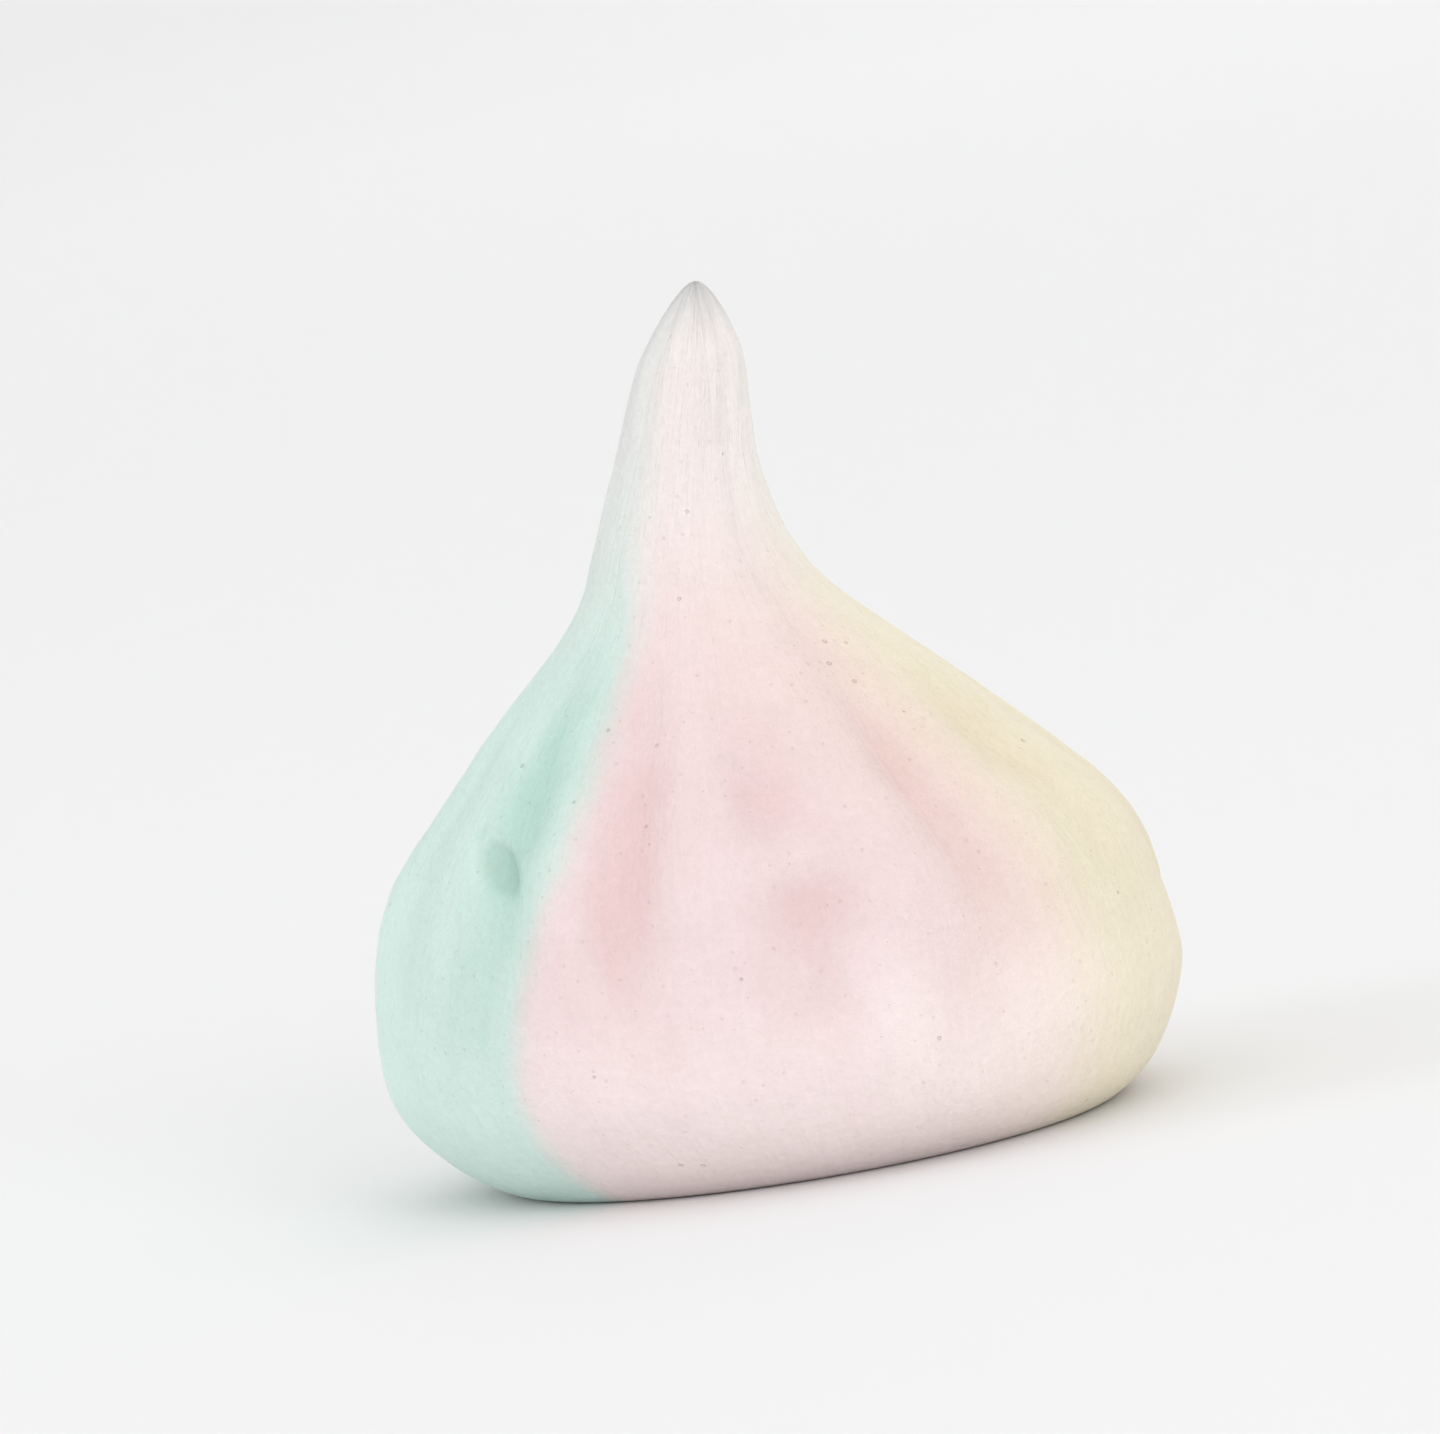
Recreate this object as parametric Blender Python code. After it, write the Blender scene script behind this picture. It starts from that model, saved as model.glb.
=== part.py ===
"""A piped meringue cookie: one baked solid, striped in three pastel colours, standing on its flat foot.

The outline runs up through a rounded foot, a wide bulb, a hollow flank and a slim neck to a blunt
peak. A star-toothed piping nozzle left the crests and grooves, which fade out up the flank.
Metres, +Z up. The origin is the middle of the flat foot, and the pink stripe faces -Y.
"""

import math

import bmesh
import bpy
import numpy as np

# Driving dimensions, in metres.
COOKIE_HEIGHT = 0.0409
FOOT_RADIUS = 0.0142
BULB_RADIUS = 0.0191
BULB_HEIGHT = 0.0069
FLANK_RADIUS = 0.0125
FLANK_HEIGHT = 0.0198
NECK_RADIUS = 0.00345
NECK_HEIGHT = 0.0325
PEAK_RADIUS = 0.0025
PEAK_HEIGHT = 0.0374

# The outline's stations from the foot to the peak. Each is its radius, its height and the way the
# outline heads there in degrees, where 0 is outwards, 90 is up and 180 is inwards.
STATIONS = (
    (FOOT_RADIUS, 0.0, 23.0),
    (BULB_RADIUS, BULB_HEIGHT, 90.0),
    (FLANK_RADIUS, FLANK_HEIGHT, 134.0),
    (NECK_RADIUS, NECK_HEIGHT, 105.0),
    (PEAK_RADIUS, PEAK_HEIGHT, 107.0),
    (0.0, COOKIE_HEIGHT, 180.0),
)
# For the span above each station: its handles as a share of its chord, and how many rings it holds.
SPANS = ((0.36, 9), (0.46, 13), (0.53, 12), (0.29, 4), (0.18, 3))

# The nozzle's marks. The grooves are evenly spaced round the cookie and twist a little near the peak.
# They fade up the flank, and they are fainter at the sides than in front and behind.
GROOVES = 13
SEGMENTS_PER_GROOVE = 8
GROOVE_DEPTH = 0.00120
GROOVE_SOFTNESS = 0.42
FIRST_GROOVE = 7.5
GROOVE_FAINT = 0.16
GROOVE_FAINT_HEIGHT = 0.0038
GROOVE_FULL_HEIGHT = 0.0160
GROOVE_TAPER = 0.55
NECK_FADE = 0.78
NECK_FADE_START = 0.0170
NECK_FADE_END = 0.0255
SIDE_FADE = 0.24
PRESSURE_SWAY = 0.15
NOZZLE_TWIST = 8.0
TWIST_START = 0.0230

# Hand-piped unevenness. The bulb sits a little aside of the foot, the body above it leans on the same
# way, and the peak curls back. Each shift is along X and Y, and then the heights that it runs between.
SHIFTS = (
    ((-0.0006, 0.0), 0.0, 0.0050),
    ((-0.00055, -0.0006), 0.0110, 0.0190),
    ((-0.00025, 0.0), 0.0260, 0.0320),
)
PEAK_CURL = (0.0025, -0.0005)
PEAK_CURL_START = 0.0285
PEAK_CURL_BEND = 1.2
BULB_SWELL = 0.00030

# A bubble that burst in the mint stripe: where it is, its half sizes round and up, and its depth.
BUBBLE_ANGLE = -47.3
BUBBLE_HEIGHT = 0.0161
BUBBLE_HALF_SIZES = (0.0012, 0.0013)
BUBBLE_DEPTH = 0.00050

# The three stripes: the left edge in degrees round from the front on the bulb and on the neck, then
# colour and roughness.
STRIPES = (
    ("pink_meringue", (-39.0, -27.0), (0.85, 0.71, 0.71), 0.60),
    ("yellow_meringue", (47.0, 52.0), (0.86, 0.78, 0.60), 0.60),
    ("mint_meringue", (186.0, 189.0), (0.65, 0.83, 0.77), 0.60),
)
STRIPE_SHIFT_START = 0.0110
STRIPE_SHIFT_END = 0.0230


def smooth_step(value, low, high):
    """0 below low, 1 above high, and an S-shaped rise between them."""
    share = np.clip((value - low) / (high - low), 0.0, 1.0)
    return share * share * (3.0 - 2.0 * share)


def outline():
    """Radius and height from the flat foot's edge up to the peak, one Bezier span between stations."""
    points = []
    for (start, end), (handle_share, rings) in zip(zip(STATIONS, STATIONS[1:]), SPANS):
        first, last = np.array(start[:2]), np.array(end[:2])
        reach = handle_share * np.linalg.norm(last - first)
        leaving, arriving = (math.radians(station[2]) for station in (start, end))
        handle_up = first + reach * np.array([math.cos(leaving), math.sin(leaving)])
        handle_down = last - reach * np.array([math.cos(arriving), math.sin(arriving)])
        for step in range(rings):
            t = step / rings
            points.append(
                (1 - t) ** 3 * first
                + 3 * t * (1 - t) ** 2 * handle_up
                + 3 * t * t * (1 - t) * handle_down
                + t**3 * last
            )
    points.append(np.array(STATIONS[-1][:2]))
    return np.array(points)


def groove_share(angle, height):
    """0 on a crest and 1 in a groove, for an angle round from the front: a softened cosine."""
    front = np.radians(FIRST_GROOVE)
    twist = np.radians(NOZZLE_TWIST) * smooth_step(height, TWIST_START, COOKIE_HEIGHT)
    phase = 0.5 * GROOVES * (angle - front - twist)
    crest = np.sqrt(np.sin(phase) ** 2 + GROOVE_SOFTNESS**2)
    lowest, highest = GROOVE_SOFTNESS, math.sqrt(1.0 + GROOVE_SOFTNESS**2)
    return 1.0 - (crest - lowest) / (highest - lowest)


def groove_depth(angle, radius, height):
    """The groove's depth: none at the foot's edge, faint below the bulb, full above, faint on the neck."""
    faint = GROOVE_FAINT * smooth_step(height, 0.0, GROOVE_FAINT_HEIGHT)
    full = (1.0 - GROOVE_FAINT) * smooth_step(height, GROOVE_FAINT_HEIGHT, GROOVE_FULL_HEIGHT)
    neck = 1.0 - NECK_FADE * smooth_step(height, NECK_FADE_START, NECK_FADE_END)
    uneven = 1.0 - SIDE_FADE * (1.0 - np.cos(2.0 * angle)) - PRESSURE_SWAY * np.cos(6.0 * angle - 0.7)
    return GROOVE_DEPTH * (faint + full) * neck * uneven * (radius / BULB_RADIUS) ** GROOVE_TAPER


def swell(angle, height):
    """The bulb's slow bulges, which fade out at the foot and the neck."""
    rising = smooth_step(height, 0.0, BULB_HEIGHT)
    falling = 1.0 - smooth_step(height, FLANK_HEIGHT, NECK_HEIGHT)
    waves = 0.5 * np.sin(angle) + 0.5 * np.sin(2.0 * angle + 2.9) + 0.4 * np.sin(3.0 * angle + 1.2)
    return BULB_SWELL * rising * falling * waves


def bubble(angle, height):
    """The hollow that the burst bubble left: a smooth dip round its middle."""
    turn = angle - math.radians(BUBBLE_ANGLE)
    turn = np.arctan2(np.sin(turn), np.cos(turn))
    across = turn * BULB_RADIUS / BUBBLE_HALF_SIZES[0]
    along = (height - BUBBLE_HEIGHT) / BUBBLE_HALF_SIZES[1]
    return BUBBLE_DEPTH * np.exp(-(across**2) - along**2)


def lean(height):
    """How far this height's ring is off the foot's middle, along X and Y: the shifts and the peak's curl."""
    share = np.clip((height - PEAK_CURL_START) / (COOKIE_HEIGHT - PEAK_CURL_START), 0.0, 1.0)
    aside = [bend * share**PEAK_CURL_BEND for bend in PEAK_CURL]
    for shift, low, high in SHIFTS:
        aside = [total + part * smooth_step(height, low, high) for total, part in zip(aside, shift)]
    return tuple(aside)


def piped_point(angle, radius, height):
    """Where the turned point at this angle, radius and height ends up on the piped cookie."""
    piped = radius - groove_depth(angle, radius, height) * groove_share(angle, height)
    piped = piped + swell(angle, height) * (radius / BULB_RADIUS) - bubble(angle, height)
    aside_x, aside_y = lean(height)
    return piped * np.sin(angle) + aside_x, -piped * np.cos(angle) + aside_y, height


def turned_body(profile):
    """Spins the outline once round Z, from the foot's edge to the peak, and closes the foot with one face."""
    body = bmesh.new()
    rings = [body.verts.new((radius, 0.0, height)) for radius, height in profile]
    edges = [body.edges.new(pair) for pair in zip(rings, rings[1:])]
    bmesh.ops.spin(
        body,
        geom=rings + edges,
        cent=(0.0, 0.0, 0.0),
        axis=(0.0, 0.0, 1.0),
        angle=math.tau,
        steps=GROOVES * SEGMENTS_PER_GROOVE,
    )
    bmesh.ops.remove_doubles(body, verts=body.verts, dist=1e-7)
    rim = [edge for edge in body.edges if edge.is_boundary]
    bmesh.ops.contextual_create(body, geom=rim)
    bmesh.ops.recalc_face_normals(body, faces=body.faces)
    return body


def shape_as_piped(body):
    """Moves every point of the turned body to its place on the piped cookie."""
    places = np.array([vert.co for vert in body.verts])
    angle = np.arctan2(places[:, 0], -places[:, 1])
    radius = np.hypot(places[:, 0], places[:, 1])
    moved = np.stack(piped_point(angle, radius, places[:, 2]), axis=1)
    for vert, place in zip(body.verts, moved):
        vert.co = place


def stripe_index(centre):
    """Which stripe the middle of a face lies on. The stripes' edges shift between the bulb and the neck."""
    aside_x, aside_y = lean(centre.z)
    angle = math.degrees(math.atan2(centre.x - aside_x, -(centre.y - aside_y)))
    shift = smooth_step(centre.z, STRIPE_SHIFT_START, STRIPE_SHIFT_END)
    turns = [(angle - low - (high - low) * shift) % 360.0 for _, (low, high), _, _ in STRIPES]
    return turns.index(min(turns))


def stripe_material(name, colour, roughness):
    """A matte sugar-shell finish in one pastel colour."""
    material = bpy.data.materials.new(name)
    material.use_nodes = True
    shader = material.node_tree.nodes["Principled BSDF"]
    shader.inputs["Base Color"].default_value = (*colour, 1.0)
    shader.inputs["Roughness"].default_value = roughness
    shader.inputs["Metallic"].default_value = 0.0
    material.diffuse_color = (*colour, 1.0)
    return material


def build_meringue():
    """The whole cookie as one object named meringue."""
    body = turned_body(outline())
    shape_as_piped(body)
    for face in body.faces:
        face.material_index = stripe_index(face.calc_center_median())
    mesh = bpy.data.meshes.new("meringue")
    body.to_mesh(mesh)
    body.free()
    for name, _, colour, roughness in STRIPES:
        mesh.materials.append(stripe_material(name, colour, roughness))
    mesh.shade_smooth()
    mesh.set_sharp_from_angle(angle=math.radians(50.0))
    meringue = bpy.data.objects.new("meringue", mesh)
    bpy.context.scene.collection.objects.link(meringue)
    return meringue


for leftover in list(bpy.data.objects):
    bpy.data.objects.remove(leftover, do_unlink=True)
build_meringue()
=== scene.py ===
import math

import bpy
import numpy as np
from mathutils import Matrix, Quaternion, Vector


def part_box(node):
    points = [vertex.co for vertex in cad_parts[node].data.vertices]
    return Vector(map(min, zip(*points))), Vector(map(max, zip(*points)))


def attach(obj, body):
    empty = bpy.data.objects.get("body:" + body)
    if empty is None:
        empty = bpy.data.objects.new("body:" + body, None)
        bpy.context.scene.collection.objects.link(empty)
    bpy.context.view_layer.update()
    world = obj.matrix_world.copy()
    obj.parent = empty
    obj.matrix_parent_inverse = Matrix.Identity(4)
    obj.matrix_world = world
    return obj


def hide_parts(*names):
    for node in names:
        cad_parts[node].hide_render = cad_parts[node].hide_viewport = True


# A piped meringue cookie in three pastel stripes. The frame gives its place and size, and the
# surface below is worked out on a grid: columns go round the cookie, rows go up its outline.

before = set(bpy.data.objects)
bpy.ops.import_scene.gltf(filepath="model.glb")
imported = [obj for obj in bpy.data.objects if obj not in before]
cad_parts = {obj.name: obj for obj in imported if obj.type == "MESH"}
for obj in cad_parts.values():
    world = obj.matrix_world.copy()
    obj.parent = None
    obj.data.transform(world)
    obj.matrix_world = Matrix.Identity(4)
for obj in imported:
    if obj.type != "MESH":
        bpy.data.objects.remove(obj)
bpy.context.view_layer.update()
cookieLow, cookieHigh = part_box("meringue")
print("frame loaded, cookie is %.1f mm tall" % ((cookieHigh.z - cookieLow.z) * 1000))

# the cookie's shape
cookie = {
    # radius and height in mm, and the way the outline heads there in degrees: 0 out, 90 up, 180 in
    "stations": [(13.7, 0.0, 0), (14.9, 0.32, 29), (19.1, 6.9, 90), (12.5, 19.8, 134.0),
                 (3.45, 32.5, 105), (2.5, 37.4, 107), (0.0, 40.9, 180)],
    "handles": [0.36, 0.37, 0.46, 0.53, 0.29, 0.18],  # length of each span's handles, as a share of it
    "columns": 494, "rows": 184, "soleRows": 9,
    "grooves": 13, "grooveDepth": 1.20, "grooveSoftness": 0.42, "firstGroove": 7.5,
    # grooves grow up the bulb, and are faint at the neck and at the sides
    "faintShare": 0.16, "faintHeight": 3.8, "fullHeight": 16.0, "taper": 0.55,
    "fade": 0.78, "fadeFrom": 17.0, "fadeTo": 25.5, "sideFade": 0.24, "sideSway": 0.15,
    # the nozzle's twist and drift in degrees, and how unevenly the hand pressed, groove by groove.
    # Cells are how many random numbers lie round the cookie and up it.
    "twist": 8.0, "twistFrom": 23.0, "unsteady": 2.6, "unsteadyCells": (17, 6), "unsteadySeed": 366,
    "pulse": 0.42, "pulseCells": (13, 16), "pulseSeed": 383237,
    # mm aside along X and Y between two heights, and the peak's curl
    "shifts": [((-0.6, 0.0), 0.0, 5.0), ((-0.55, -0.6), 11.0, 19.0), ((-0.25, 0.0), 26.0, 32.0)],
    "curl": (2.5, -0.5), "curlFrom": 28.5, "curlBend": 1.2,
    "swell": 0.30,
    # burst bubbles: degrees round, height, half sizes round and up, lean and depth, in mm but for the first
    "bubbles": [(-48.4, 16.1, 1.35, 1.30, 1.15, 0.55), (-56.5, 17.7, 0.50, 0.40, 0.0, 0.20),
                (97.0, 9.2, 0.50, 0.42, 0.0, 0.26), (-158.0, 12.6, 0.70, 0.55, 0.2, 0.45)],
    # patches where the colour is deeper, or paler where the strength is negative: partly uneven colour, partly
    # painted shade on grooves and shaded flanks, and painted light on the lower bulb and along the left edge at
    # -85 degrees. Each has degrees round, height, half sizes round and up, lean and strength
    "patches": [(-43.0, 19.2, 3.6, 2.4, 0.0, 0.46), (-40.0, 23.4, 5.5, 3.6, 0.0, 0.34),
                (-51.0, 10.5, 2.4, 3.5, 0.0, 0.16), (-10.5, 17.8, 1.5, 3.0, 0.0, 0.36),
                (22.0, 20.8, 1.6, 2.0, 0.0, 0.25), (61.0, 18.6, 4.5, 2.4, 0.0, 0.50),
                (-21.0, 15.0, 3.4, 4.5, 0.0, -0.14), (6.0, 14.8, 2.6, 1.5, 0.0, -0.42),
                (33.0, 14.0, 2.4, 6.0, 0.0, -0.14), (17.0, 7.5, 1.4, 3.2, 0.0, -0.40),
                (44.0, 6.0, 4.0, 3.0, 0.0, -0.30), (-85.0, 12.0, 5.5, 8.0, 0.0, -0.90)],
    "spotRadius": 18.0,  # mm from the cookie's axis out to the spots, to turn their degrees into mm
    # small relief, in mm: each ridge's own size, the hand's wobble and the skin's
    "ridgeVary": 0.16, "handWobble": 0.16, "skinWobble": 0.035,
    "ridgeCells": (13, 3), "handCells": (19, 11), "skinCells": (92, 44), "seed": 7,
}
bulbRadius, bulbHeight = cookie["stations"][2][:2]
flankHeight, neckHeight, peakHeight = (cookie["stations"][place][1] for place in (3, 4, 6))
mm = (cookieHigh.z - cookieLow.z) / peakHeight  # metres in one millimetre of the numbers above


def smoothStep(value, low, high):
    # 0 below low and 1 above high, and 3t^2 - 2t^3 of the share t between them
    share = np.clip((value - low) / (high - low), 0.0, 1.0)
    return share * share * (3.0 - 2.0 * share)


def latticeNoise(turn, along, cells, seed):
    # value noise from -1 to 1: random numbers on a lattice that closes round the turn (0 to 1), joined
    # by the same S-curve both ways. along runs 0 to 1 from the first lattice row to the last.
    columns, rows = cells
    values = np.random.default_rng(seed).uniform(-1.0, 1.0, (rows + 1, columns))
    across, up = np.broadcast_arrays((turn % 1.0) * columns, np.clip(along, 0.0, 0.9999) * rows)
    column, row = np.floor(across).astype(int), np.floor(up).astype(int)
    u, v = across - column, up - row
    u, v = u * u * (3.0 - 2.0 * u), v * v * (3.0 - 2.0 * v)
    left, right = column % columns, (column + 1) % columns
    below = values[row, left] * (1.0 - u) + values[row, right] * u
    above = values[row + 1, left] * (1.0 - u) + values[row + 1, right] * u
    return below * (1.0 - v) + above * v


def outlineCurve(t):
    # radius and height at t, which counts spans: a cubic Bezier between each two stations, whose
    # handles lie along the stations' headings
    stations = np.array(cookie["stations"], float)
    ends, heading = stations[:, :2], np.radians(stations[:, 2])
    reach = np.array(cookie["handles"]) * np.linalg.norm(np.diff(ends, axis=0), axis=1)
    way = np.stack([np.cos(heading), np.sin(heading)], axis=1)
    leaving = ends[:-1] + reach[:, None] * way[:-1]
    arriving = ends[1:] - reach[:, None] * way[1:]
    span = np.minimum(np.floor(t).astype(int), len(reach) - 1)
    u = (t - span)[:, None]
    point = (1 - u) ** 3 * ends[span] + 3 * u * (1 - u) ** 2 * leaving[span]
    point = point + 3 * u * u * (1 - u) * arriving[span] + u**3 * ends[span + 1]
    return point[:, 0], point[:, 1]


def evenOutline(rows):
    # rows of the outline at even steps of its length, from the sole's edge to just under the peak
    fine = np.linspace(0.0, len(cookie["handles"]), 6001)
    radius, height = outlineCurve(fine)
    length = np.concatenate([[0.0], np.cumsum(np.hypot(np.diff(radius), np.diff(height)))])
    wanted = np.linspace(0.0, length[-1], rows + 1)[:-1]
    radius, height = outlineCurve(np.interp(wanted, length, fine))
    return radius, height, wanted / length[-1]


def grooveAngle(angle, height):
    # the angle in the nozzle's own turn: the angle less the first groove's, the twist near the peak
    # and a little drift
    twist = cookie["twist"] * smoothStep(height, cookie["twistFrom"], peakHeight)
    drift = latticeNoise(angle / (2.0 * math.pi), height / peakHeight, cookie["unsteadyCells"],
                         cookie["unsteadySeed"])
    return angle - np.radians(cookie["firstGroove"] + twist + cookie["unsteady"] * drift)


def grooveShare(angle, height):
    # 0 on a crest and 1 in a groove: the root of sine squared plus a softness squared, turned over
    soft = cookie["grooveSoftness"]
    crest = np.sqrt(np.sin(0.5 * cookie["grooves"] * grooveAngle(angle, height)) ** 2 + soft**2)
    return 1.0 - (crest - soft) / (math.sqrt(1.0 + soft**2) - soft)


def grooveStrength(angle, radius, height):
    # the groove's depth as a share of the deepest: faint under the bulb, full above it and faint on the
    # neck, times the fade at the sides, the hand's pulse and the ring's radius to the power of the taper
    faint = cookie["faintShare"] * smoothStep(height, 0.0, cookie["faintHeight"])
    full = (1.0 - cookie["faintShare"]) * smoothStep(height, cookie["faintHeight"], cookie["fullHeight"])
    neck = 1.0 - cookie["fade"] * smoothStep(height, cookie["fadeFrom"], cookie["fadeTo"])
    side = 1.0 - cookie["sideFade"] * (1.0 - np.cos(2.0 * angle))
    side = side - cookie["sideSway"] * np.cos(6.0 * angle - 0.7)
    turn = grooveAngle(angle, height) / (2.0 * math.pi)
    pressed = latticeNoise(turn, height / peakHeight, cookie["pulseCells"], cookie["pulseSeed"])
    pulse = 1.0 + cookie["pulse"] * pressed
    return (faint + full) * neck * side * pulse * (radius / bulbRadius) ** cookie["taper"]


def slowSwell(angle, height):
    # three slow waves round the bulb that rise from the sole and fade out up to the neck
    rising = smoothStep(height, 0.0, bulbHeight)
    falling = 1.0 - smoothStep(height, flankHeight, neckHeight)
    waves = 0.5 * np.sin(angle) + 0.5 * np.sin(2.0 * angle + 2.9) + 0.4 * np.sin(3.0 * angle + 1.2)
    return cookie["swell"] * rising * falling * waves


def softSpots(spots, angle, height, power):
    # sum of the spots: each is its size times e to the minus power of its distance, in half sizes. A spot
    # that leans moves sideways by that many mm for each mm up.
    total = 0.0
    for middle, level, halfRound, halfUp, lean, size in spots:
        turn = angle - math.radians(middle)
        up = height - level
        across = (np.arctan2(np.sin(turn), np.cos(turn)) * cookie["spotRadius"] + lean * up) / halfRound
        total = total + size * np.exp(-((across**2 + (up / halfUp) ** 2) ** (power / 2.0)))
    return total


def handRelief(angle, radius, height, share):
    # small unevenness, in mm: each ridge has its own size, and wobbles of 6 mm and of 1.3 mm lie on top.
    # The sum rises over the lowest 3 mm and shrinks with the root of the ring's radius.
    turn = grooveAngle(angle, height) / (2.0 * math.pi)
    size = np.sqrt(np.clip(radius / bulbRadius, 0.0, 1.0))
    rising = smoothStep(height, 0.0, 3.0)
    onRidge = turn + 0.5 / cookie["grooves"]
    ridges = cookie["ridgeVary"] * latticeNoise(onRidge, share, cookie["ridgeCells"], cookie["seed"])
    hand = cookie["handWobble"] * latticeNoise(turn, share, cookie["handCells"], cookie["seed"] + 1)
    skin = cookie["skinWobble"] * latticeNoise(turn, share, cookie["skinCells"], cookie["seed"] + 2)
    return rising * size * (ridges + hand + skin)


def asideAt(height):
    # how far the ring at this height is pushed aside along X and Y, in mm: the shifts, then the curl
    share = np.clip((height - cookie["curlFrom"]) / (peakHeight - cookie["curlFrom"]), 0.0, 1.0)
    bent = share ** cookie["curlBend"]
    asideX, asideY = cookie["curl"][0] * bent, cookie["curl"][1] * bent
    for (shiftX, shiftY), low, high in cookie["shifts"]:
        moved = smoothStep(height, low, high)
        asideX, asideY = asideX + shiftX * moved, asideY + shiftY * moved
    return asideX, asideY


def gridMesh(name, points, firstPole, lastPole):
    # a mesh from points[row, column], closed round its columns and at both ends by a point
    rows, columns = points.shape[:2]
    vertices = np.concatenate([points.reshape(-1, 3), [firstPole, lastPole]])
    row, column = np.meshgrid(np.arange(rows - 1), np.arange(columns), indexing="ij")
    after = (column + 1) % columns
    quads = np.stack([row * columns + column, row * columns + after, (row + 1) * columns + after,
                      (row + 1) * columns + column], axis=-1).reshape(-1, 4)
    around = np.arange(columns)
    nextRound = (around + 1) % columns
    bottom = np.stack([nextRound, around, np.full(columns, rows * columns)], axis=1)
    last = (rows - 1) * columns
    top = np.stack([last + around, last + nextRound, np.full(columns, rows * columns + 1)], axis=1)
    corners = np.concatenate([quads.ravel(), bottom.ravel(), top.ravel()]).astype(np.int32)
    sizes = np.concatenate([np.full(len(quads), 4), np.full(2 * columns, 3)])
    starts = np.concatenate([[0], np.cumsum(sizes)[:-1]]).astype(np.int32)
    mesh = bpy.data.meshes.new(name)
    mesh.vertices.add(len(vertices))
    mesh.vertices.foreach_set("co", vertices.astype(np.float32).ravel())
    mesh.loops.add(len(corners))
    mesh.loops.foreach_set("vertex_index", corners)
    mesh.polygons.add(len(sizes))
    mesh.polygons.foreach_set("loop_start", starts)
    mesh.update(calc_edges=True)
    mesh.validate()
    mesh.shade_smooth()
    return mesh


def storeValues(mesh, name, values, firstPole, lastPole):
    # one number for each point of the grid, with the two poles' own numbers last
    attribute = mesh.attributes.new(name, "FLOAT", "POINT")
    attribute.data.foreach_set("value", np.append(values.ravel(), [firstPole, lastPole]).astype(np.float32))


def fitToFrame(points, low, high):
    # stretches the points by the percent or so that makes their box the frame's own
    lowest, highest = points.reshape(-1, 3).min(axis=0), points.reshape(-1, 3).max(axis=0)
    return low + (points - lowest) * (high - low) / (highest - lowest)


# where each stripe starts, in degrees round from the front, at these heights in mm
stripes = {
    "heights": [0.0, 8.0, 12.0, 15.0, 18.0, 22.0, 27.0, 32.0, 37.0],
    "mintToPink": [-41.0, -41.0, -37.5, -33.0, -30.8, -27.8, -30.5, -29.5, -36.0],
    "pinkToYellow": [47.0, 48.0, 46.5, 47.5, 48.0, 47.0, 57.0, 66.0, 70.0],
    "yellowToMint": [186.0, 186.0, 186.0, 187.0, 187.0, 188.0, 189.0, 190.0, 190.0],
}


def stripeBorder(name, height):
    # the border's angle at a height: straight lines between the named heights, averaged over 3 mm
    turns = [np.interp(height + off, stripes["heights"], stripes[name]) for off in (-1.5, 0.0, 1.5)]
    return np.radians(0.25 * turns[0] + 0.5 * turns[1] + 0.25 * turns[2])


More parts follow.
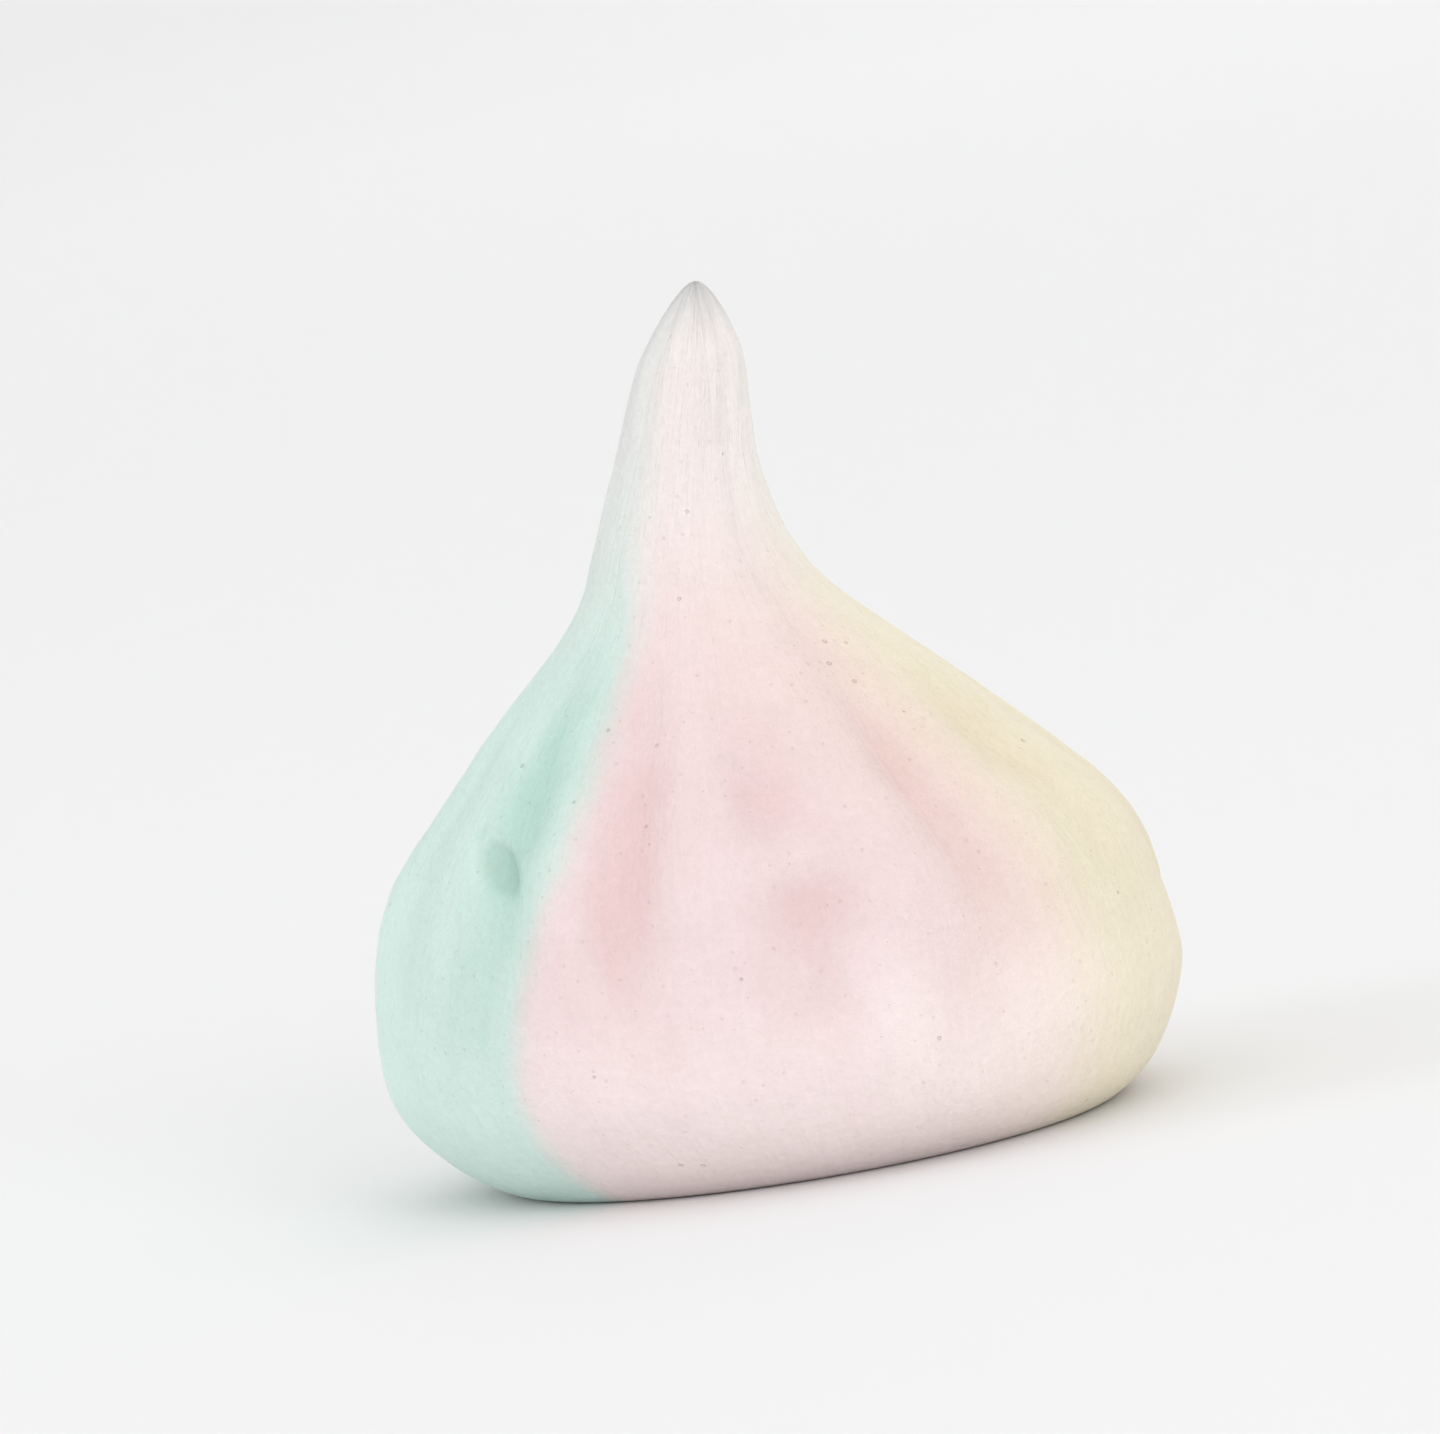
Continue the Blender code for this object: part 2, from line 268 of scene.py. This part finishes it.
def buildCookie():
    # each point's reach from the axis: the outline's radius less the groove, plus the swell and the
    # hand's relief, less the bubbles. Then its ring is pushed aside, and all is fitted to the frame.
    radius, height, share = (values[:, None] for values in evenOutline(cookie["rows"]))
    angle = np.linspace(-math.pi, math.pi, cookie["columns"], endpoint=False)[None, :]
    groove = grooveShare(angle, height)
    strength = grooveStrength(angle, radius, height)
    hollow = softSpots(cookie["bubbles"], angle, height, 4.0)
    patch = softSpots(cookie["patches"], angle, height, 2.0)
    reach = radius - cookie["grooveDepth"] * strength * groove
    reach = reach + slowSwell(angle, height) * radius / bulbRadius
    reach = reach + handRelief(angle, radius, height, share) - hollow
    asideX, asideY = asideAt(height)
    level = np.broadcast_to(height, reach.shape)
    side = np.stack([reach * np.sin(angle) + asideX, -reach * np.cos(angle) + asideY, level], axis=-1)

    # the sole under it is flat, and its rings shrink from the side's first ring to the middle
    inner = np.linspace(0.0, 1.0, cookie["soleRows"] + 1)[1:-1, None, None]
    sole = side[0][None] * inner
    points = np.concatenate([sole, side]) * mm
    first, last = np.zeros(3), np.array([*asideAt(peakHeight), peakHeight]) * mm
    everything = np.concatenate([points.reshape(-1, 3), [first, last]])
    everything = fitToFrame(everything, np.array(cookieLow), np.array(cookieHigh))
    points = everything[:-2].reshape(points.shape)
    mesh = gridMesh("meringueShell", points, everything[-2], everything[-1])

    def onGrid(values, onSole):
        # the side's values with the sole's rows put before them
        soleValues = np.broadcast_to(onSole, (cookie["soleRows"] - 1, cookie["columns"]))
        return np.concatenate([soleValues, np.broadcast_to(values, reach.shape)])

    # how far each point is over each border between two stripes, in mm: radius times a sine
    ringRadius = np.concatenate([radius[0] * inner[:, :, 0], radius])
    for name in ("mintToPink", "pinkToYellow", "yellowToMint"):
        over = onGrid(np.sin(angle - stripeBorder(name, height)), np.sin(angle - stripeBorder(name, 0.0)))
        storeValues(mesh, name, ringRadius * over, 0.0, 0.0)
    # the groove's share times its strength, which the shell darkens as painted shade in the grooves
    storeValues(mesh, "groove", onGrid(groove * np.clip(strength, 0.0, 1.0), 0.0), 0.0, 0.0)
    storeValues(mesh, "hollow", onGrid(hollow, 0.0), 0.0, 0.0)
    storeValues(mesh, "patch", onGrid(patch, 0.0), 0.0, 0.0)
    # where a point lies along its ridge, for streaks: cosine and sine of the nozzle's angle, and the way up
    turned = grooveAngle(angle, height)
    storeValues(mesh, "flowX", onGrid(np.cos(turned), np.cos(grooveAngle(angle, 0.0))), 0.0, 0.0)
    storeValues(mesh, "flowY", onGrid(np.sin(turned), np.sin(grooveAngle(angle, 0.0))), 0.0, 0.0)
    storeValues(mesh, "flowUp", onGrid(share, 0.0), 0.0, 1.0)

    shell = bpy.data.objects.new("meringueShell", mesh)
    bpy.context.scene.collection.objects.link(shell)
    return shell


shell = buildCookie()
print("cookie shell: %d faces" % len(shell.data.polygons))


class Wire:
    # a socket that shader maths can be written with: each operator adds its Math node
    tree = None

    def __init__(self, socket):
        self.socket = socket

    @classmethod
    def node(cls, kind, settings=None, inputs=None, output=0):
        # adds a node with these settings, wires or values, and gives back one of its outputs
        made = cls.tree.nodes.new(kind)
        for name, value in (settings or {}).items():
            setattr(made, name, value)
        for key, value in (inputs or {}).items():
            if isinstance(value, Wire):
                cls.tree.links.new(value.socket, made.inputs[key])
            else:
                made.inputs[key].default_value = value
        return cls(made.outputs[output])

    def maths(self, operation, *others):
        return Wire.node("ShaderNodeMath", {"operation": operation}, dict(enumerate((self, *others))))

    def __add__(self, other):
        return self.maths("ADD", other)

    def __sub__(self, other):
        return self.maths("SUBTRACT", other)

    def __rsub__(self, other):
        return Wire.node("ShaderNodeMath", {"operation": "SUBTRACT"}, {0: other, 1: self})

    def __mul__(self, other):
        return self.maths("MULTIPLY", other)

    __radd__, __rmul__ = __add__, __mul__

    def smooth(self, low, high):
        # 0 below low, 1 above high, and an S-curve between
        limits = {"Value": self, "From Min": low, "From Max": high}
        return Wire.node("ShaderNodeMapRange", {"interpolation_type": "SMOOTHSTEP"}, limits)


def mixColour(first, second, share, blend="MIX"):
    # first + share * (second - first), or first times that share of second for MULTIPLY
    settings = {"data_type": "RGBA", "blend_type": blend}
    return Wire.node("ShaderNodeMix", settings, {0: share, 6: first, 7: second}, 2)


def stored(name):
    # a number that the mesh holds at each point
    return Wire.node("ShaderNodeAttribute", {"attribute_name": name}, output=2)


def vector(x, y, z):
    # three wires or numbers as one vector
    return Wire.node("ShaderNodeCombineXYZ", None, {0: x, 1: y, 2: z})


def noise(place, scale, detail=2.0, roughness=0.5):
    # fractal noise from about -0.5 to 0.5
    inputs = {"Vector": place, "Scale": scale, "Detail": detail, "Roughness": roughness}
    return Wire.node("ShaderNodeTexNoise", None, inputs) - 0.5


def pinholes(place, perMm, rarity, size):
    # round pits of many sizes, 1 inside and 0 outside: a cell of the pattern holds one where its own
    # random number is over the rarity, and its radius in cells is that excess times the size
    cells = Wire.node("ShaderNodeTexVoronoi", None, {"Vector": place, "Scale": perMm / mm})
    chance = Wire.node("ShaderNodeSeparateColor", None, {0: Wire(cells.socket.node.outputs["Color"])})
    return (chance.smooth(rarity, 1.0) * size - cells).smooth(0.0, 0.4 * size)


sugar = {
    # each stripe's colour on the crests, then its darker colour in the grooves, which is painted shade there
    # and the deeper colour of patches and streaks, then its paler shades low down, painted light from below,
    # and at the neck
    "pink": [(0.862, 0.712, 0.710), (0.800, 0.590, 0.588), (0.985, 0.872, 0.852), (0.892, 0.797, 0.792)],
    "peach": [(0.885, 0.716, 0.656), (0.850, 0.655, 0.592), (0.985, 0.882, 0.815), (0.930, 0.862, 0.835)],
    "mint": [(0.643, 0.812, 0.750), (0.480, 0.690, 0.618), (0.725, 0.900, 0.848), (0.803, 0.816, 0.796)],
    "yellow": [(0.880, 0.812, 0.628), (0.832, 0.740, 0.555), (0.965, 0.885, 0.712), (0.945, 0.930, 0.885)],
    "tipShade": (0.760, 0.760, 0.755),
    "mintPinkBlur": 1.35, "pinkYellowBlur": 3.2, "yellowMintBlur": 1.8,  # mm either side of the border
    # mm up where each change of colour starts and ends: the pale sole, painted light from below, the pale neck,
    # and the grey tip, painted shade
    "paintedSoleLight": (1.0, 12.5), "paleNeck": (21.5, 34.0), "shadedTip": (38.2, 40.6),
    "mottle": (0.930, 0.925, 0.920), "bubble": (0.800, 0.850, 0.830), "grainToneAndShade": (0.945, 0.940, 0.937),
    # cells in each mm, rarity and size
    "pores": (2.1, 0.35, 0.20), "pinholes": (0.95, 0.70, 0.13),
    "roughness": 0.60, "specular": 0.30,
}


def sugarShell():
    # three stripes that bleed along the piping, painted shade in the grooves, paler to the sole as painted
    # light from below, and paler to the peak
    material = bpy.data.materials.new("meringueSugarShell")
    material.use_nodes = True
    Wire.tree = material.node_tree
    shader = material.node_tree.nodes["Principled BSDF"]
    place = Wire.node("ShaderNodeTexCoord", output=3)
    up = Wire.node("ShaderNodeSeparateXYZ", None, {0: place}, 2) * (1.0 / mm)  # mm above the sole
    flow = vector(stored("flowX"), stored("flowY"), stored("flowUp") * 0.9)

    # stripes: each border wanders along the height and frays in fine streaks
    wander = noise(vector(0.0, 0.0, up), 0.16, 2.0)
    streak = noise(flow, 9.0, 3.0, 0.6)
    lines = noise(vector(stored("flowX"), stored("flowY"), stored("flowUp") * 0.30), 46.0, 2.0)
    fray = streak * 0.8 + noise(place, 0.55 / mm, 3.0) * 0.7

    def over(name, blur):
        # 0 before a border and 1 past it, with the blur on either side
        return (stored(name) + wander * 0.9 + fray).smooth(-blur, blur)

    pinkHere = over("mintToPink", sugar["mintPinkBlur"]) * (1.0 - over("pinkToYellow", sugar["pinkYellowBlur"]))
    yellowBack = 1.0 - over("yellowToMint", sugar["yellowMintBlur"])

    # darker colour in the grooves as painted shade, deeper colour in the patches, partly uneven colour and
    # partly painted shade, and faint streaks along the ridges. The sole's paler shade is painted light from
    # below, it reaches higher where a patch is pale, and a warmer pink runs along the yellow stripe.
    groove = stored("groove")
    deepAndShadeShare = groove + stored("patch") + streak * 0.6 + lines * 0.4 + noise(place, 0.22 / mm) * 0.5
    deepAndShadeShare = deepAndShadeShare.smooth(-0.15, 1.0)
    # painted light: paler towards the sole, standing in for light thrown up from below
    low = (1.0 - (up + streak * 2.0 + stored("patch") * 10.0).smooth(*sugar["paintedSoleLight"])) * 0.80
    high = (up + streak * 3.0).smooth(*sugar["paleNeck"])
    warm = (stored("pinkToYellow") + streak * 3.0).smooth(-11.0, 1.5) * 0.85

    def stripe(name):
        # the crest's colour, darkened towards the groove colour where the grooves get painted shade and patches
        # and streaks deepen it, then to the pale sole colour, painted light, and to the pale neck colour
        crest, deepAndShadedColour, paintedLowLight, paleHigh = ((*shade, 1) for shade in sugar[name])
        return mixColour(mixColour(mixColour(crest, deepAndShadedColour, deepAndShadeShare), paintedLowLight, low), paleHigh, high)

    pink = mixColour(stripe("pink"), stripe("peach"), warm)
    colour = mixColour(mixColour(stripe("mint"), stripe("yellow"), yellowBack), pink, pinkHere)

    # painted shade: greyer at the very end of the peak
    colour = mixColour(colour, (*sugar["tipShade"], 1), (up + fray).smooth(*sugar["shadedTip"]) * 0.6)

    # mottling of a few per cent, and painted shade in the burst bubble's hollow
    mottle = noise(place, 0.42 / mm, 4.0, 0.6) * 0.9 + 0.5
    colour = mixColour(colour, (*sugar["mottle"], 1), mottle.smooth(0.15, 0.95) * 0.55, "MULTIPLY")
    colour = mixColour(colour, (*sugar["bubble"], 1), stored("hollow").smooth(0.05, 0.50), "MULTIPLY")

    # skin, with heights in mm: chalky grain, pores, pinholes, and the hair-fine lines that the nozzle drew
    grain = noise(place, 2.4 / mm, 4.0, 0.68)
    pore = pinholes(place, *sugar["pores"])
    pinhole = pinholes(place, *sugar["pinholes"])
    relief = grain * 0.085 + lines * 0.070 - pore * 0.025 - pinhole * 0.060
    normal = Wire.node("ShaderNodeBump", None, {"Strength": 1.0, "Distance": mm, "Height": relief})
    rough = noise(place, 1.1 / mm, 3.0) * 0.16 + sugar["roughness"]
    # darker where the grain is low: partly uneven tone and partly painted shade in the grain's pits
    grainToneAndShade = (grain + lines * 0.5).smooth(-0.30, 0.35)
    colour = mixColour(colour, (*sugar["grainToneAndShade"], 1), 1.0 - grainToneAndShade, "MULTIPLY")
    # painted shade: pores and pinholes deeper in colour, as if shadowed inside
    colour = mixColour(colour, colour, pore * 0.12 + pinhole * 0.45, "MULTIPLY")

    links = material.node_tree.links
    links.new(colour.socket, shader.inputs["Base Color"])
    links.new(rough.socket, shader.inputs["Roughness"])
    links.new(normal.socket, shader.inputs["Normal"])
    shader.inputs["Specular IOR Level"].default_value = sugar["specular"]
    return material


shell.data.materials.append(sugarShell())
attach(shell, "root")
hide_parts("meringue")
print("sugar finish: done")

# floor and sky, in metres
studio = {
    "floorColour": (0.84, 0.84, 0.84), "flatTo": 1.1, "wallAt": 2.0, "wallTop": 1.3,
    "floorRoughness": 0.85, "floorSpecular": 0.2,
    "innerRing": 0.05, "flatRings": 7, "wallRings": 13, "columns": 96,
    "skyColour": (0.995, 0.995, 1.0), "skyStrength": 0.96,
}


def studioFloor():
    # a pale dish turned round the cookie: flat out to flatTo, and past it a wall with the radius
    # flatTo + across sin(bend) and the height wallTop (1 - cos(bend))
    flat = np.linspace(studio["innerRing"], studio["flatTo"], studio["flatRings"], endpoint=False)
    bend = np.linspace(0.0, math.pi / 2, studio["wallRings"])
    across = studio["wallAt"] - studio["flatTo"]
    radius = np.concatenate([flat, studio["flatTo"] + across * np.sin(bend)])[:, None]
    height = np.concatenate([np.zeros(len(flat)), studio["wallTop"] * (1.0 - np.cos(bend))])[:, None]
    angle = np.linspace(-math.pi, math.pi, studio["columns"], endpoint=False)[None, :]
    level = np.broadcast_to(height + float(cookieLow.z), (len(radius), studio["columns"]))
    points = np.stack([radius * np.sin(angle), -radius * np.cos(angle), level], axis=-1)
    rows, columns = level.shape
    row, column = np.meshgrid(np.arange(rows - 1), np.arange(columns), indexing="ij")
    after = (column + 1) % columns
    faces = np.stack([row * columns + column, (row + 1) * columns + column, (row + 1) * columns + after,
                      row * columns + after], axis=-1).reshape(-1, 4).tolist()
    faces.append(list(range(columns)))
    mesh = bpy.data.meshes.new("studioFloor")
    mesh.from_pydata(points.reshape(-1, 3).tolist(), [], faces)
    mesh.shade_smooth()
    material = bpy.data.materials.new("paleFloor")
    material.use_nodes = True
    shader = material.node_tree.nodes["Principled BSDF"]
    shader.inputs["Base Color"].default_value = (*studio["floorColour"], 1)
    shader.inputs["Roughness"].default_value = studio["floorRoughness"]
    shader.inputs["Specular IOR Level"].default_value = studio["floorSpecular"]
    mesh.materials.append(material)
    floor = bpy.data.objects.new("studioFloor", mesh)
    bpy.context.scene.collection.objects.link(floor)


# each softbox: place and size in metres, and its power in watts
softboxes = {
    "frontBox": {"place": (0.45, -1.10, 0.46), "size": 0.60, "power": 3.6},
    "leftBox": {"place": (-1.10, -0.20, 0.46), "size": 0.60, "power": 2.0},
    "backBox": {"place": (0.25, 1.15, 0.50), "size": 0.70, "power": 0.8},
    "overheadBox": {"place": (0.1, 0.15, 1.1), "size": 0.9, "power": 0.5},
}


def studioLights():
    # an even sky, and round softboxes that face the cookie's middle
    world = bpy.data.worlds.new("paleRoom")
    bpy.context.scene.world = world
    world.use_nodes = True
    background = world.node_tree.nodes["Background"]
    background.inputs["Color"].default_value = (*studio["skyColour"], 1)
    background.inputs["Strength"].default_value = studio["skyStrength"]
    middle = (cookieLow + cookieHigh) / 2
    for name, box in softboxes.items():
        lamp = bpy.data.lights.new(name, "AREA")
        lamp.shape, lamp.size, lamp.energy = "DISK", box["size"], box["power"]
        holder = bpy.data.objects.new(name, lamp)
        holder.location = box["place"]
        holder.rotation_mode = "QUATERNION"
        holder.rotation_quaternion = (middle - holder.location).to_track_quat("-Z", "Y")
        holder.visible_camera = False
        bpy.context.scene.collection.objects.link(holder)


# in degrees and metres, with the lens and the sensor in mm
camera = {
    "elevation": 5.5, "roll": -9.5, "distance": 0.6, "aside": -0.0006,
    "lens": 320.0, "sensor": 36.0, "clip": (0.05, 20.0),
}


def studioCamera():
    # looks at the cookie's middle from the front, a little above it, with the camera rolled
    data = bpy.data.cameras.new("camera")
    data.lens, data.sensor_width = camera["lens"], camera["sensor"]
    data.clip_start, data.clip_end = camera["clip"]
    holder = bpy.data.objects.new("camera", data)
    rise = math.radians(camera["elevation"])
    middle = (cookieLow + cookieHigh) / 2 + Vector((camera["aside"], 0.0, 0.0))
    back = Vector((0.0, -math.cos(rise), math.sin(rise)))
    holder.location = middle + back * camera["distance"]
    holder.rotation_mode = "QUATERNION"
    roll = Quaternion((0.0, 0.0, 1.0), math.radians(camera["roll"]))
    holder.rotation_quaternion = (-back).to_track_quat("-Z", "Y") @ roll
    bpy.context.scene.collection.objects.link(holder)
    bpy.context.scene.camera = holder


studioFloor()
studioLights()
studioCamera()
bpy.context.scene.view_settings.view_transform = "Standard"
print("studio: floor, lights and camera in place")
